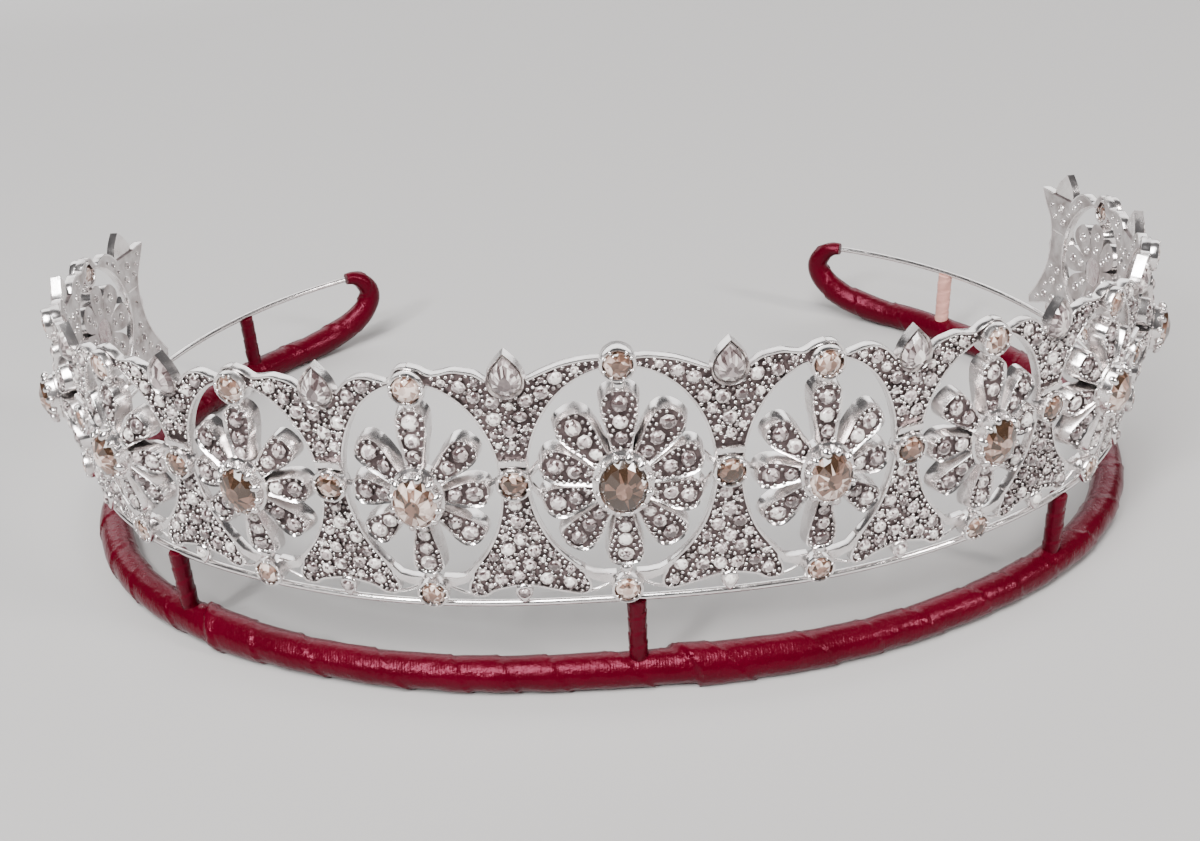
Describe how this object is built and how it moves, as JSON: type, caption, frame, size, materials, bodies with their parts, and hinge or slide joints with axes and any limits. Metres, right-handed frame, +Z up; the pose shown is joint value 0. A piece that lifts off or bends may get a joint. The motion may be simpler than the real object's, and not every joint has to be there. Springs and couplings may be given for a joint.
{
  "type": "jewelled silver tiara on a ribbon-wrapped base ring",
  "caption": "Openwork silver tiara of flower medallions and pavé fleurs, set with pinkish-brown stones, raised on posts above an open ribbon-wrapped ring.",
  "frame": {"origin": "On the surface the tiara rests on, under the middle of its whole outline.", "axes": "+Z up, -Y towards the viewer of the middle medallion, +X to that viewer's right. The open back is at +Y."},
  "size_m": [0.1596, 0.1076, 0.0466],
  "materials": {
    "silver": "polished silver",
    "champagne_stone": "cut and polished pinkish-brown stone",
    "red_ribbon": "dark crimson satin"
  },
  "bodies": {
    "root": {"metalwork": "silver", "wrapped_band": "red_ribbon", "post_front": "red_ribbon", "post_left": "red_ribbon", "post_right": "red_ribbon", "post_back_left": "red_ribbon", "post_back_right": "red_ribbon", "centre_stone_left_1": "champagne_stone", "centre_stone_left_2": "champagne_stone", "centre_stone_left_3": "champagne_stone", "centre_stone_left_4": "champagne_stone", "centre_stone_left_5": "champagne_stone", "centre_stone_middle": "champagne_stone", "centre_stone_right_1": "champagne_stone", "centre_stone_right_2": "champagne_stone", "centre_stone_right_3": "champagne_stone", "centre_stone_right_4": "champagne_stone", "centre_stone_right_5": "champagne_stone", "top_stone_left_1": "champagne_stone", "top_stone_left_2": "champagne_stone", "top_stone_left_3": "champagne_stone", "top_stone_left_4": "champagne_stone", "top_stone_left_5": "champagne_stone", "top_stone_middle": "champagne_stone", "top_stone_right_1": "champagne_stone", "top_stone_right_2": "champagne_stone", "top_stone_right_3": "champagne_stone", "top_stone_right_4": "champagne_stone", "top_stone_right_5": "champagne_stone", "waist_stone_left_1": "champagne_stone", "waist_stone_left_2": "champagne_stone", "waist_stone_left_3": "champagne_stone", "waist_stone_left_4": "champagne_stone", "waist_stone_left_5": "champagne_stone", "waist_stone_left_6": "champagne_stone", "waist_stone_right_1": "champagne_stone", "waist_stone_right_2": "champagne_stone", "waist_stone_right_3": "champagne_stone", "waist_stone_right_4": "champagne_stone", "waist_stone_right_5": "champagne_stone", "waist_stone_right_6": "champagne_stone"}
  },
  "joints": []
}
